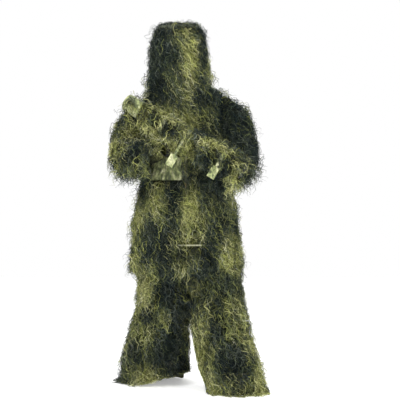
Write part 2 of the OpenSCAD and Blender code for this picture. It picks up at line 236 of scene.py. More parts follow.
def camo_material():
    """Printed cloth: four greens in blotches over a plain weave of two crossed sets of threads."""
    material, tree, shader = new_material("camo_cloth", 0.85, sheen=0.15)
    vector = place_nodes(tree, (1, 1, 0.6))
    blotches = noise(tree, vector, CAMO_BLOTCHES_PER_METRE, 2.0, 0.8)
    printed = ramp(tree, blotches, list(zip((0.0, 0.44, 0.52, 0.6), CAMO_GREENS)), hard=True)
    small = noise(tree, vector, CAMO_BLOTCHES_PER_METRE * 4, 3.0, 1.0)
    flecks = ramp(tree, small, [(0.45, grey(0.55)), (0.62, grey(1.1))])

    vector = place_nodes(tree)
    warp, weft = (waves(tree, vector, axis, WEAVE_PER_METRE, 1.5, detail_scale=2.0) for axis in ("X", "Z"))
    product = tree.nodes.new("ShaderNodeMath")
    product.operation = "MULTIPLY"
    tree.links.new(warp, product.inputs[0])
    tree.links.new(weft, product.inputs[1])
    height = product.outputs[0]
    add_bump(tree, height, 0.5, 0.0006, shader)

    # painted shade: the printed colour is darker where the weave is low and a little lighter where it is high
    painted_shading = ramp(tree, height, [(0.0, grey(0.82)), (0.5, grey(1.05))])
    colour = multiplied(tree, multiplied(tree, printed, flecks), painted_shading)
    tree.links.new(colour, shader.inputs["Base Color"])
    return material


def mat_material():
    """The mat that the tufts' roots make on the cloth: fibres in the colours of the threads over it, with
    painted shade in blotches.
    """
    material, tree, shader = new_material("thread_mat", 0.95, shine=0.05)
    vector = place_nodes(tree, (1, 1, 0.5))
    coarse = noise(tree, vector, 70, 4.0, 3.0)
    fine = noise(tree, vector, 260, 3.0, 4.0)
    # painted shade: the low places of the bump are darkened nearly to black, as the gaps between tufts
    painted_depth_shade = ramp(tree, coarse, [(0.38, grey(0.03)), (0.55, grey(0.25)), (0.68, grey(0.8))])
    fibres = ramp(tree, fine, [(0.40, grey(0.35)), (0.62, grey(1.3))])
    colour = multiplied(tree, multiplied(tree, tint_of(tree), painted_depth_shade), fibres)
    tree.links.new(colour, shader.inputs["Base Color"])
    add_bump(tree, coarse, 0.8, 0.003, shader)
    return material


def jute_material():
    """Jute yarn: each strand carries its own colour with painted shade at its root, broken up by fibres."""
    material, tree, shader = new_material("jute", 0.9, shine=0.08)
    fibres = ramp(tree, noise(tree, place_nodes(tree), 160, 2.0), [(0.3, grey(0.72)), (0.7, grey(1.2))])
    tree.links.new(multiplied(tree, tint_of(tree), fibres), shader.inputs["Base Color"])
    return material


def ribbed_material(name, colour, ribs_per_metre):
    """Woven tape or elastic with ribs across it."""
    material, tree, shader = new_material(name, 0.8, sheen=0.1)
    ribs = waves(tree, place_nodes(tree), "Z", ribs_per_metre, 0.6)
    # painted shade and highlight: a darker copy of the colour in the valleys between the ribs and a lighter
    # one on their tops
    dark = tuple(c * 0.6 for c in colour)
    light = tuple(min(1, c * 1.2) for c in colour)
    painted_shading = ramp(tree, ribs, [(0.1, dark), (0.7, light)])
    dirt = ramp(tree, noise(tree, place_nodes(tree), 35), [(0.35, grey(0.75)), (0.65, grey(1.05))])
    tree.links.new(multiplied(tree, painted_shading, dirt), shader.inputs["Base Color"])
    add_bump(tree, ribs, 0.6, 0.0005, shader)
    return material


def metal_material():
    """Darkened brass, worn brighter in patches."""
    material, tree, shader = new_material("dark_brass", 0.4, metallic=1.0)
    wear = noise(tree, place_nodes(tree), 300)
    colour = ramp(tree, wear, [(0.4, (0.11, 0.085, 0.04)), (0.7, (0.36, 0.28, 0.12))])
    tree.links.new(colour, shader.inputs["Base Color"])
    return material


def floor_material():
    """White paper, lit evenly enough from within to keep the suit's shadow faint."""
    material, tree, shader = new_material("floor_paper", 0.8, shine=0.2)
    colour = ramp(tree, noise(tree, place_nodes(tree), 3), [(0.0, grey(0.93)), (1.0, grey(0.97))])
    tree.links.new(colour, shader.inputs["Base Color"])
    shader.inputs["Emission Color"].default_value = (1, 1, 1, 1)
    shader.inputs["Emission Strength"].default_value = 0.35
    return material


# ---------------------------------------------------------------- surfaces of the frame

# Walls' rims are ribbons of triangles with a side shorter than this.
RIM_EDGE = 0.0085
# A triangle is on the outside when at most MOST_HITS of its rays, one straight out and the rest round it,
# meet the same nodes again.
SIDE_RAYS = 8
SIDE_RAYS_SPREAD = 0.6
RAYS_START = 0.0005
MOST_HITS = 3
# Corners of triangles count as one point when they round to the same place on a grid of this many per metre.
CORNER_GRID = 2000


def unit(vectors):
    return vectors / np.maximum(np.linalg.norm(vectors, axis=-1, keepdims=True), 1e-9)


def across(vectors, normals):
    """Unit vectors with the part along the normals taken away."""
    return unit(vectors - normals * (vectors * normals).sum(axis=1, keepdims=True))


def crosses(triangles):
    """Each triangle's normal, as long as twice its area."""
    return np.cross(triangles[:, 1] - triangles[:, 0], triangles[:, 2] - triangles[:, 0])


def corner_normals(triangles):
    """Smooth normals at each triangle's corners."""
    keys = np.round(triangles.reshape(-1, 3) * CORNER_GRID).astype(int)
    _, shared = np.unique(keys, axis=0, return_inverse=True)
    total = np.zeros((shared.max() + 1, 3))
    np.add.at(total, shared.ravel(), np.repeat(crosses(triangles), 3, axis=0))
    return unit(total[shared.ravel()]).reshape(-1, 3, 3)


def node_triangles(name):
    """The corner points of a CAD node's triangles, as an (n, 3, 3) array."""
    mesh = frame["nodes"][name].data
    mesh.calc_loop_triangles()
    points = np.empty(len(mesh.vertices) * 3)
    mesh.vertices.foreach_get("co", points)
    corners = np.empty(len(mesh.loop_triangles) * 3, int)
    mesh.loop_triangles.foreach_get("vertices", corners)
    return points.reshape(-1, 3)[corners.reshape(-1, 3)]


def tree_of(triangles):
    indices = np.arange(len(triangles) * 3).reshape(-1, 3)
    return BVHTree.FromPolygons(triangles.reshape(-1, 3).tolist(), indices.tolist())


def outside_of(*names):
    """The triangles of the nodes' outer walls: most rays from them leave without meeting the same nodes."""
    triangles = np.concatenate([node_triangles(name) for name in names])
    edges = np.linalg.norm(triangles - np.roll(triangles, 1, axis=1), axis=2)
    tree = tree_of(triangles)
    turns = [2 * math.pi * i / SIDE_RAYS for i in range(SIDE_RAYS)]
    kept = []
    for triangle, normal, shortest in zip(triangles, unit(crosses(triangles)), edges.min(axis=1)):
        if shortest < RIM_EDGE:
            continue
        out = Vector(normal)
        start = Vector(triangle.mean(axis=0)) + out * RAYS_START
        side = out.orthogonal().normalized()
        other = out.cross(side)
        around = [math.cos(t) * side + math.sin(t) * other for t in turns]
        rays = [out] + [(out + SIDE_RAYS_SPREAD * way).normalized() for way in around]
        if sum(tree.ray_cast(start, ray)[0] is not None for ray in rays) <= MOST_HITS:
            kept.append(triangle)
    return np.array(kept)


def facing_out(triangles):
    """Leaves out the inner wall of a short tube round the torso."""
    outwards = triangles.mean(axis=1) - triangles.mean(axis=(0, 1))
    return triangles[(crosses(triangles)[:, :2] * outwards[:, :2]).sum(axis=1) > 0]


def ring_triangles(rings, *corners):
    """Triangles between rings of points. corners picks each triangle's three places in a cell of four."""
    cell = rings[:-1, :-1], rings[:-1, 1:], rings[1:, 1:], rings[1:, :-1]
    picked = [np.stack([cell[i] for i in three], axis=2).reshape(-1, 3, 3) for three in corners]
    return np.concatenate(picked)


# The rifle wrap's axis, from the covered stock to the mouth at the muzzle
WRAP_START = np.array([-0.300, -0.150, 1.390])
WRAP_END = np.array([0.251, -0.305, 1.050])
WRAP_LENGTH = np.linalg.norm(WRAP_END - WRAP_START)
WRAP_RADIUS = 0.040
WRAP_RINGS, WRAP_COLUMNS = 51, 40
STOCK_LENGTH = 0.095
WRAP_SEAM = 0.001
# The stock's cover from its closed end: each ring's distance and radius
STOCK_PROFILE = [(0.001, 0.0003), (0.002, 0.020), (0.004, 0.036), (0.012, 0.043), (0.030, 0.044),
                 (0.050, 0.043), (0.070, 0.044), (STOCK_LENGTH, 0.044)]


def wrap_axis():
    return unit(WRAP_END - WRAP_START)


def along_wrap(points):
    """How far points are from the wrap's stock end, along its axis."""
    return (points - WRAP_START) @ wrap_axis()


def wrap_triangles(profile):
    """A tube round the wrap's axis. profile holds each ring's distance from the stock's end and radius."""
    along = wrap_axis()
    side = unit(np.cross(along, DOWN))
    up = np.cross(side, along)
    turns = np.linspace(0, 2 * math.pi, WRAP_COLUMNS + 1)
    circle = np.cos(turns)[:, None] * side + np.sin(turns)[:, None] * up
    rings = np.stack([WRAP_START + distance * along + radius * circle for distance, radius in profile])
    return ring_triangles(rings, (0, 2, 1), (0, 3, 2))


# A sleeve's head goes on into the jacket: each ring's size, and how far in it is
SLEEVE_HEAD = [(1.0, 0.0), (0.97, 0.025), (0.85, 0.05), (0.6, 0.07), (0.3, 0.08)]
# How near to the sleeve's end plane the points of its rim are
RIM_REACH = 0.0005


def sleeve_head(sleeve, plane_x, inwards):
    """A rounded end on a sleeve, inside the jacket's armhole and round the shoulder's axis."""
    corners = sleeve.reshape(-1, 3)
    rim = np.unique(np.round(corners[np.abs(corners[:, 0] - plane_x) < RIM_REACH], 5), axis=0)
    centre = rim.mean(axis=0)
    rim = rim[np.argsort(np.arctan2(rim[:, 1] - centre[1], rim[:, 2] - centre[2]))]
    rim = np.concatenate([rim, rim[:1]])
    rings = [centre + (rim - centre) * size + [inwards * depth, 0, 0] for size, depth in SLEEVE_HEAD]
    made = ring_triangles(np.stack(rings), (0, 1, 2), (0, 2, 3))
    turned = (crosses(made) * (made.mean(axis=1) - centre)).sum(axis=1) < 0
    made[turned] = made[turned][:, ::-1]
    return made


def sleeve_surface(side):
    """A sleeve's outer wall with its head."""
    wall = outside_of(f"{side}_upper_sleeve", f"{side}_forearm_sleeve")
    low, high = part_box(f"{side}_upper_sleeve")
    plane_x, inwards = (high[0], 1) if side == "right" else (low[0], -1)
    return np.concatenate([wall, sleeve_head(wall, plane_x, inwards)])


def front_of(triangles):
    return triangles[crosses(triangles)[:, 1] < 0]


def middle_of(node):
    return np.array(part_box(node)).mean(axis=0)


def scatter(triangles, count, rng, keep=None):
    """Points spread evenly over triangles, with smooth normals. keep gives each point's chance to stay."""
    normals = corner_normals(triangles)
    areas = np.linalg.norm(crosses(triangles), axis=1)
    share = np.cumsum(areas) / areas.sum()
    tries = count if keep is None else 3 * count
    which = np.searchsorted(share, (np.arange(tries) + rng.random(tries)) / tries).clip(0, len(triangles) - 1)
    a, b = rng.random((2, tries))
    flip = a + b > 1
    a[flip], b[flip] = 1 - a[flip], 1 - b[flip]
    weights = np.stack([1 - a - b, a, b], axis=1)[:, :, None]
    points = (triangles[which] * weights).sum(axis=1)
    directions = unit((normals[which] * weights).sum(axis=1))
    if keep is None:
        return points, directions
    stays = np.flatnonzero(rng.random(tries) < keep(points))
    stays = rng.permutation(stays)[:count]
    return points[stays], directions[stays]


# ---------------------------------------------------------------- colour patches of the threads

# Large odd numbers that mix a cell's place into its noise
HASH_STEPS = np.array([73856093, 19349663, 83492791])
HASH_TURN = 1274126177
HASH_SEED = 9176
SEED_SHIFT = 17.3


def lattice(points, size, seed):
    """Smooth noise from 0 to 1 in three dimensions, with features of about size."""
    scaled = points / size + seed * SEED_SHIFT
    cell = np.floor(scaled).astype(np.int64)
    part = scaled - cell
    part = part * part * (3 - 2 * part)
    total = np.zeros(len(points))
    for corner in np.ndindex(2, 2, 2):
        bits = (cell + corner) @ HASH_STEPS + seed * HASH_SEED
        bits = (bits ^ (bits >> 13)) * HASH_TURN
        value = ((bits ^ (bits >> 16)) & 0xFFFF) / 0xFFFF
        weight = np.prod(np.where(np.array(corner) == 1, part, 1 - part), axis=1)
        total += weight * value
    return total


# Light and dark patches on the suit's front: (x, z, half width, half height, lightness from 0 to 1)
PATCHES = [
    # Hood and veil
    (-0.09, 1.64, 0.05, 0.10, 0.20), (-0.03, 1.71, 0.04, 0.04, 0.50), (0.00, 1.60, 0.03, 0.07, 0.90),
    (0.05, 1.50, 0.03, 0.04, 0.40), (0.00, 1.45, 0.025, 0.06, 0.95), (-0.05, 1.47, 0.03, 0.06, 0.50),
    # Chest and arms; the darker patches just under the rifle wrap are painted shadow
    (-0.14, 1.43, 0.04, 0.03, 0.05), (-0.26, 1.43, 0.04, 0.03, 0.85), (0.12, 1.43, 0.07, 0.05, 0.05),
    (-0.10, 1.33, 0.05, 0.03, 0.80), (-0.02, 1.30, 0.06, 0.04, 0.90), (0.08, 1.31, 0.04, 0.03, 0.75),
    (0.20, 1.30, 0.07, 0.12, 0.05), (-0.16, 1.29, 0.03, 0.02, 0.20), (-0.26, 1.24, 0.07, 0.04, 0.85),
    (-0.10, 1.24, 0.04, 0.03, 0.25), (0.00, 1.24, 0.02, 0.05, 0.80), (0.13, 1.19, 0.05, 0.025, 0.90),
    (0.25, 1.20, 0.05, 0.06, 0.05), (-0.24, 1.14, 0.06, 0.05, 0.20), (-0.36, 1.16, 0.03, 0.04, 0.90),
    (0.19, 1.14, 0.04, 0.02, 0.85), (0.05, 1.09, 0.05, 0.04, 0.20), (0.25, 1.08, 0.04, 0.03, 0.75),
    (-0.24, 1.06, 0.05, 0.04, 0.50), (0.11, 1.01, 0.06, 0.05, 0.00),
    # Skirt of the jacket
    (0.21, 0.97, 0.04, 0.07, 0.85), (-0.15, 0.91, 0.04, 0.08, 0.90), (-0.06, 0.92, 0.03, 0.07, 0.08),
    (-0.22, 0.83, 0.04, 0.05, 0.75), (0.01, 0.86, 0.04, 0.09, 0.85), (0.09, 0.92, 0.03, 0.05, 0.30),
    (0.15, 0.82, 0.05, 0.09, 0.25), (-0.18, 0.72, 0.05, 0.08, 0.05), (-0.09, 0.78, 0.04, 0.07, 0.30),
    (0.02, 0.74, 0.05, 0.07, 0.95), (0.10, 0.69, 0.04, 0.05, 0.05), (0.20, 0.66, 0.05, 0.07, 0.80),
    (-0.04, 0.66, 0.03, 0.03, 0.10),
    # Trousers
    (-0.20, 0.51, 0.05, 0.07, 0.85), (-0.10, 0.46, 0.05, 0.08, 0.05), (0.02, 0.50, 0.03, 0.04, 0.70),
    (0.12, 0.50, 0.05, 0.06, 0.35), (0.21, 0.50, 0.04, 0.05, 0.20), (0.23, 0.38, 0.05, 0.07, 0.65),
    (-0.13, 0.34, 0.04, 0.04, 0.80), (-0.20, 0.35, 0.04, 0.04, 0.10), (-0.04, 0.41, 0.03, 0.05, 0.00),
    (0.04, 0.30, 0.03, 0.05, 0.85), (0.14, 0.30, 0.04, 0.06, 0.10), (0.23, 0.28, 0.05, 0.05, 0.75),
    (-0.24, 0.26, 0.04, 0.05, 0.65), (-0.10, 0.20, 0.06, 0.08, 0.10), (0.08, 0.16, 0.03, 0.08, 0.75),
    (0.18, 0.15, 0.06, 0.06, 0.05), (-0.22, 0.05, 0.06, 0.04, 0.90), (-0.06, 0.12, 0.04, 0.06, 0.00),
    (0.26, 0.12, 0.04, 0.05, 0.10), (0.23, 0.02, 0.05, 0.03, 0.70), (0.34, 0.04, 0.05, 0.03, 0.80),
]
# The drifting noise under the patches: its two sizes, its middle and its strength
COARSE_DRIFT, FINE_DRIFT = 0.12, 0.055
DRIFT_MIDDLE, DRIFT_STRENGTH = 0.42, 3.4
# How sharply a patch's edge falls off, and how much light and dark are driven apart
PATCH_EDGE = 2.2
PATCH_CONTRAST = 1.4


def lightness(points, normals):
    """How light the threads are at each point: drifting noise, with the chosen patches on the front, some of
    them painted shadow.
    """
    drift = 0.65 * lattice(points * [1, 1, 0.7], COARSE_DRIFT, 1) + 0.35 * lattice(points, FINE_DRIFT, 2)
    value = np.clip(DRIFT_MIDDLE + DRIFT_STRENGTH * (drift - 0.5), 0, 1)
    front = np.clip(0.7 - 2.5 * normals[:, 1], 0, 1)
    for x, z, half_w, half_h, level in PATCHES:
        near = np.exp(-(((points[:, 0] - x) / half_w) ** 2 + ((points[:, 2] - z) / half_h) ** 2))
        weight = np.clip(PATCH_EDGE * near, 0, 1) * front
        value = value * (1 - weight) + level * weight
    return np.clip(0.5 + PATCH_CONTRAST * (value - 0.5), 0, 1)


YARNS = np.array([
    (0.51, 0.51, 0.22),     # pale straw green
    (0.27, 0.29, 0.085),    # moss
    (0.105, 0.125, 0.055),  # olive
    (0.085, 0.098, 0.078),  # grey green
    (0.022, 0.031, 0.023),  # dark green
    (0.012, 0.019, 0.022),  # blue black
])
# How much of each yarn a dark, a middle and a light patch holds
MIX_DARK = np.array([0.00, 0.02, 0.07, 0.18, 0.41, 0.32])
MIX_MIDDLE = np.array([0.05, 0.15, 0.27, 0.30, 0.15, 0.08])
MIX_LIGHT = np.array([0.36, 0.36, 0.15, 0.06, 0.05, 0.02])
# The share of strands that take their tuft's yarn, and the spread of brightness over tufts and over strands
TUFT_YARN_SHARE = 0.6
TUFT_SPREAD, STRAND_SPREAD = 0.3, 0.25
# A strand is darker at its root, in the shade of the others: places along it, and brightness there
SHADE_PLACES, SHADE_LEVELS = [0, 0.35, 1], [0.12, 0.65, 1.3]
MOST_BRIGHT = 0.7


def patch_shares(points, normals):
    """How much of each yarn the threads hold at each point."""
    value = lightness(points, normals)[:, None]
    low = np.clip(1 - 2 * value, 0, 1)
    high = np.clip(2 * value - 1, 0, 1)
    return low * MIX_DARK + (1 - low - high) * MIX_MIDDLE + high * MIX_LIGHT


def yarn_colours(places, normals, rng):
    """A colour for every knot of every strand. A strand is one yarn, chosen by the patch that it hangs in."""
    shares = np.cumsum(patch_shares(places, normals), axis=1)
    tufts = len(places) // STRANDS_IN_TUFT
    tuft_draw = np.repeat(rng.random(tufts), STRANDS_IN_TUFT)
    draw = np.where(rng.random(len(places)) < TUFT_YARN_SHARE, tuft_draw, rng.random(len(places)))
    choice = (shares < draw[:, None]).sum(axis=1).clip(0, len(YARNS) - 1)
    tuft_bright = np.repeat(rng.normal(0, TUFT_SPREAD, tufts), STRANDS_IN_TUFT)
    brightness = tuft_bright + rng.normal(0, STRAND_SPREAD, len(choice))
    base = YARNS[choice] * np.exp(brightness)[:, None]
    # painted shade: each strand is darkened toward its root and lightened toward its tip
    along = np.interp(np.linspace(0, 1, KNOTS), SHADE_PLACES, SHADE_LEVELS)[None, :, None]
    return np.clip(base[:, None, :] * along, 0, MOST_BRIGHT)


# ---------------------------------------------------------------- paths of the jute threads

KNOTS = 15
STRANDS_IN_TUFT = 8
# How far a path's point looks for the cloth, and how far past its edge it still feels it
CLOTH_REACH = 0.09
EDGE_REACH = 0.015
# The share of its way to the cloth that a point is drawn in at each knot
DRAW_IN = 0.6
# A strand hangs free, and isn't drawn in to the cloth, where the cloth faces down more than this.
HANGING = -0.15
# How much of a strand's sideways turn is kept from knot to knot, and how much is new
TURN_KEPT, TURN_NEW = 0.8, 0.6
# Strands rise over the cloth fast near their roots and slowly at their tips.
RISE_POWER = 0.7
# The two crimps of a strand: each one's wave length and share of the curl's size
CRIMPS = [(0.060, 1.0), (0.030, 0.5)]


def settle(points, tree, heights):
    """Brings points to their own height over the cloth: out from under it, and in from too far off it."""
    moved = points.copy()
    for i, (point, wanted) in enumerate(zip(points.tolist(), heights)):
        hit, normal, _, distance = tree.find_nearest(point, CLOTH_REACH)
        if hit is None:
            continue
        height = (Vector(point) - hit).dot(normal)
        if distance > abs(height) + EDGE_REACH:
            continue
        if height < wanted:
            moved[i] += np.array(normal) * (wanted - height)
        elif normal.z > HANGING:
            moved[i] -= np.array(normal) * DRAW_IN * (height - wanted)
    return moved


def curls(path, lengths, size, rng):
    """Two crimps across each strand, long and short, that grow from its root and are alike in a tuft."""
    count = len(path)

    def alike(low, high, own):
        shared = np.repeat(rng.uniform(low, high, count // STRANDS_IN_TUFT), STRANDS_IN_TUFT)
        return (shared + own * rng.normal(size=count))[:, None, None]

    along = np.linspace(0, 1, KNOTS)[None, :, None]
    tangents = unit(np.gradient(path, axis=1))
    axis = np.concatenate([alike(-1, 1, 0.4) for _ in range(3)], axis=2)
    side = unit(np.cross(tangents, unit(axis)))
    other = np.cross(side, tangents)
    total = 0
    for wave, share in CRIMPS:
        turns = lengths[:, None, None] / wave * alike(0.7, 1.4, 0.15)
        angle = 2 * math.pi * (turns * along + alike(0, 1, 0.12))
        radius = share * size * rng.uniform(0.4, 1.8, (count, 1, 1)) * np.minimum(1, 4 * along)
        total = total + radius * (np.cos(angle) * side + 0.7 * np.sin(angle) * other)
    return total


def grow(points, normals, turns, lengths, rng, tree, low, high, droop=0.4, toward=(0, 0, 0), start=(0.6, 0.8),
         wander=0.38, curl=0.008, limit=None):
    """Paths of strands from their roots at height low to their tips at height high, with droop and curls.

    start is how much they set off outwards and sideways, toward is a pull besides the droop, and limit
    moves the points that are out of a place they stay in."""
    count = len(points)
    step = (lengths / (KNOTS - 1))[:, None]
    pull = DOWN * droop + np.array(toward)
    heading = unit(normals * start[0] + turns * start[1] + pull)
    turn = turns
    path = [points]
    for k in range(1, KNOTS):
        turn = unit(TURN_KEPT * turn + TURN_NEW * rng.normal(size=(count, 3)) / math.sqrt(3))
        heading = unit(heading + pull + turn * wander)
        rise = (k / (KNOTS - 1)) ** RISE_POWER
        wanted = settle(path[-1] + heading * step, tree, low + (high - low) * rise)
        heading = unit(wanted - path[-1])
        path.append(path[-1] + heading * step)
    path = np.stack(path, axis=1)
    path = path + curls(path, lengths, curl, rng)
    return inside_box(limit(path) if limit else path)


# ---------------------------------------------------------------- where the threads stay

# The gap between the shins: its sides at some heights
GAP_Z = [0.02, 0.06, 0.11, 0.17, 0.29, 0.37]
GAP_LEFT_X = [0.100, 0.085, 0.062, 0.048, 0.022, -0.020]
GAP_RIGHT_X = [-0.004, -0.004, -0.004, -0.004, -0.004, 0.030]
# Where the right leg's threads end over its slanted hem
RIGHT_HEM_X, RIGHT_HEM_Z = [-0.30, -0.02], [0.006, 0.075]
# How far threads may still reach past the gap's sides and the hem, and how soft that edge is
GAP_PAST, HEM_PAST = 0.006, 0.012
PAST_SOFTNESS = 0.03
# Each strand's own shift of the gap's side
GAP_RAGGED = (-0.012, 0.014)
GAP_SEED = 7


def beside_gap(side):
    """Keeps a leg's threads out of the gap between the shins, and the right leg's up over its hem."""
    rng = np.random.default_rng(GAP_SEED)

    def brought_back(over, past):
        return over - past * np.tanh(over / PAST_SOFTNESS)

    def limit(path):
        moved = path.copy()
        ragged = rng.uniform(*GAP_RAGGED, (len(path), 1))
        x, z = path[..., 0], path[..., 2]
        if side == "left":
            line = np.interp(z, GAP_Z, GAP_LEFT_X) - ragged
            moved[..., 0] = x + brought_back(np.maximum(line - x, 0), GAP_PAST)
        else:
            line = np.interp(z, GAP_Z, GAP_RIGHT_X) + ragged
            moved[..., 0] = x - brought_back(np.maximum(x - line, 0), GAP_PAST)
            hem = np.interp(x, RIGHT_HEM_X, RIGHT_HEM_Z)
            moved[..., 2] = z + brought_back(np.maximum(hem - z, 0), HEM_PAST)
        return moved
    return limit


# How far threads stand proud of the CAD box's sides at most: a share of its size and some more
PROUD_SHARE, PROUD_MORE = 0.03, 0.006
# How far they stand over the crown at most, before a strand is bent in and before it is left out
CROWN_PROUD, MOST_OVER_CROWN = 0.014, 0.011
# How far off the floor they stay at least
FLOOR_GAP = 0.004


def inside_box(path):
    """Keeps every point over the floor and within what threads may stand proud of the CAD box."""
    low, high = (np.array(corner) for corner in cad_box)
    proud = PROUD_SHARE * (high - low) + PROUD_MORE
    proud[2] = CROWN_PROUD
    over = np.maximum(path - high, 0)
    under = np.maximum(low - path, 0)
    path = path + under - over + proud * (np.tanh(over / proud) - np.tanh(under / proud))
    path[..., 2] = np.maximum(path[..., 2], FLOOR_GAP)
    return path


# Places that the photograph shows free of threads, as (low x, high x, low z, high z), in front of a plane
BARE = [(-0.175, -0.035, 1.020, 1.125), (-0.045, 0.065, 0.700, 0.710)]
BARE_PLANE_Y = -0.02


def covers_bare(paths):
    """Which strands lie over a bare place on the front."""
    over = np.zeros(len(paths), bool)
    x, y, z = paths[..., 0], paths[..., 1], paths[..., 2]
    for low_x, high_x, low_z, high_z in BARE:
        inside = (x > low_x) & (x < high_x) & (z > low_z) & (z < high_z) & (y < BARE_PLANE_Y)
        over |= inside.any(axis=1)
    return over


def over_crown(paths):
    """Which strands stand up too far over the crown."""
    return paths[..., 2].max(axis=1) > cad_box[1][2] + MOST_OVER_CROWN


# ---------------------------------------------------------------- meshes of the jute threads

# A strand's section has this many sides.
SIDES = 3
# A strand's width along it: places, and shares of its full width there
TAPER_PLACES, TAPER_WIDTHS = [0, 0.1, 0.75, 1], [0.7, 1, 0.9, 0.25]
# The free margin round a strand's cell of the bake map
CELL_MARGIN = 0.15


def strand_mesh(name, paths, radii, tints, rng):
    """One mesh of three-sided yarns that taper to their tips, with a colour and a bake map."""
    count, knots, _ = paths.shape
    tangents = unit(np.gradient(paths, axis=1))
    side = unit(np.cross(tangents, unit(rng.normal(size=(count, 1, 3)))))
    other = np.cross(side, tangents)
    taper = np.interp(np.linspace(0, 1, knots), TAPER_PLACES, TAPER_WIDTHS)
    width = radii[:, None, None] * taper[None, :, None]
    rings = [paths + width * (math.cos(t) * side + math.sin(t) * other)
             for t in (2 * math.pi * i / SIDES for i in range(SIDES))]
    points = np.stack(rings, axis=2).reshape(-1, 3)

    base = (np.arange(count) * knots * SIDES)[:, None, None]
    row = (np.arange(knots - 1) * SIDES)[None, :, None]
    i = np.arange(SIDES)[None, None, :]
    j = (i + 1) % SIDES
    corners = [base + row + i, base + row + j, base + row + SIDES + j, base + row + SIDES + i]
    quads = np.stack(corners, axis=-1).reshape(-1, 4)
    roots = base[:, 0] + np.arange(SIDES)[None, ::-1]
    tips = base[:, 0] + (knots - 1) * SIDES + np.arange(SIDES)[None, :]
    caps = np.concatenate([roots, tips])

    mesh = bpy.data.meshes.new(name)
    mesh.vertices.add(len(points))
    mesh.vertices.foreach_set("co", points.ravel())
    loops = np.concatenate([quads.ravel(), caps.ravel()])
    mesh.loops.add(len(loops))
    mesh.loops.foreach_set("vertex_index", loops.astype(np.int32))
    sizes = np.concatenate([np.full(len(quads), 4), np.full(len(caps), 3)])
    starts = np.concatenate([[0], np.cumsum(sizes)[:-1]])
    mesh.polygons.add(len(sizes))
    mesh.polygons.foreach_set("loop_start", starts.astype(np.int32))
    mesh.polygons.foreach_set("use_smooth", np.ones(len(sizes), bool))
    mesh.update(calc_edges=True)

    add_tint(mesh, np.repeat(tints.reshape(-1, 3), SIDES, axis=0))
    add_bake_map(mesh, count, knots)
    piece = bpy.data.objects.new(name, mesh)
    bpy.context.collection.objects.link(piece)
    return piece


def add_tint(mesh, colours):
    """Gives a mesh its colour at each of its points."""
    tints = np.ones((len(colours), 4))
    tints[:, :3] = colours
    layer = mesh.color_attributes.new("tint", "FLOAT_COLOR", "POINT")
    layer.data.foreach_set("color", tints.ravel().astype(np.float32))


def add_bake_map(mesh, count, knots):
    """A UV map that gives each strand a cell of its own."""
    grid = math.ceil(math.sqrt(count))
    cell = np.stack([np.arange(count) % grid, np.arange(count) // grid], axis=-1)
    k = np.arange(knots - 1)[:, None]
    i = np.arange(SIDES)[None, :]
    corners = [(k, i), (k, i + 1), (k + 1, i + 1), (k + 1, i)]
    spots = [np.stack(np.broadcast_arrays(a / (knots - 1), b / SIDES), axis=-1) for a, b in corners]
    spots = np.stack(spots, axis=2)
    uv = (cell[:, None, None, None, :] + CELL_MARGIN + (1 - 2 * CELL_MARGIN) * spots[None]) / grid
    cap_uv = np.repeat((np.concatenate([cell, cell]) + 0.5) / grid, SIDES, axis=0)
    layer = mesh.uv_layers.new(name="OFBake")
    layer.data.foreach_set("uv", np.concatenate([uv.reshape(-1, 2), cap_uv]).ravel().astype(np.float32))


# ---------------------------------------------------------------- cloth

CLOTH_THICKNESS = 0.0016
# Corners nearer than this are one point of the cloth.
MERGE_REACH = 0.0012


def grid_surface(triangles):
    """A bmesh of the triangles, with shared corners joined and pairs of triangles made into quads."""
    made = bmesh.new()
    for triangle in triangles.tolist():
        made.faces.new([made.verts.new(p) for p in triangle])
    bmesh.ops.remove_doubles(made, verts=made.verts, dist=MERGE_REACH)
    bmesh.ops.join_triangles(made, faces=made.faces, angle_face_threshold=0.9, angle_shape_threshold=3.1)
    return made


def cloth(name, triangles, material, inset=0.005, folds=None, levels=2):
    """A sheet over CAD triangles: smoothed, drawn in by inset, folded by a function and given a thickness."""
    made = grid_surface(triangles)
    mesh = bpy.data.meshes.new(name)
    made.to_mesh(mesh)
    made.free()
    piece = bpy.data.objects.new(name, mesh)
    bpy.context.collection.objects.link(piece)
    smooth = piece.modifiers.new("smooth", "SUBSURF")
    smooth.levels = levels
    smooth.boundary_smooth = "PRESERVE_CORNERS"
    apply_modifiers(piece)

    points = point_values(piece, "co")
    normals = point_values(piece, "normal")
    shift = -inset * np.ones(len(points))
    if folds is not None:
        shift += folds(points)
    moved = points + normals * shift[:, None]
    moved[:, 2] = np.maximum(moved[:, 2], 2 * CLOTH_THICKNESS)
    piece.data.vertices.foreach_set("co", moved.ravel())
    piece.data.update()
    add_tint(piece.data, patch_shares(points, normals) @ YARNS)

    shell = piece.modifiers.new("thickness", "SOLIDIFY")
    shell.thickness = CLOTH_THICKNESS
    shell.offset = -1
    apply_modifiers(piece)
    piece.data.materials.append(material)
    for face in piece.data.polygons:
        face.use_smooth = True
    return piece


def apply_modifiers(piece):
    graph = bpy.context.evaluated_depsgraph_get()
    piece.data = bpy.data.meshes.new_from_object(piece.evaluated_get(graph))
    piece.modifiers.clear()


def point_values(piece, name):
    values = np.empty(len(piece.data.vertices) * 3)
    piece.data.vertices.foreach_get(name, values)
    return values.reshape(-1, 3)


def soft_folds(size, depth, seed):
    """Loose folds that run mostly downwards."""
    def folds(points):
        return depth * 2 * (lattice(points * [1, 1, 0.35], size, seed) - 0.5)
    return folds


PLEATS = 40
PLEAT_DEPTH = 0.005
PLEAT_WOBBLE = 3
PLEATS_PROUD = 0.001


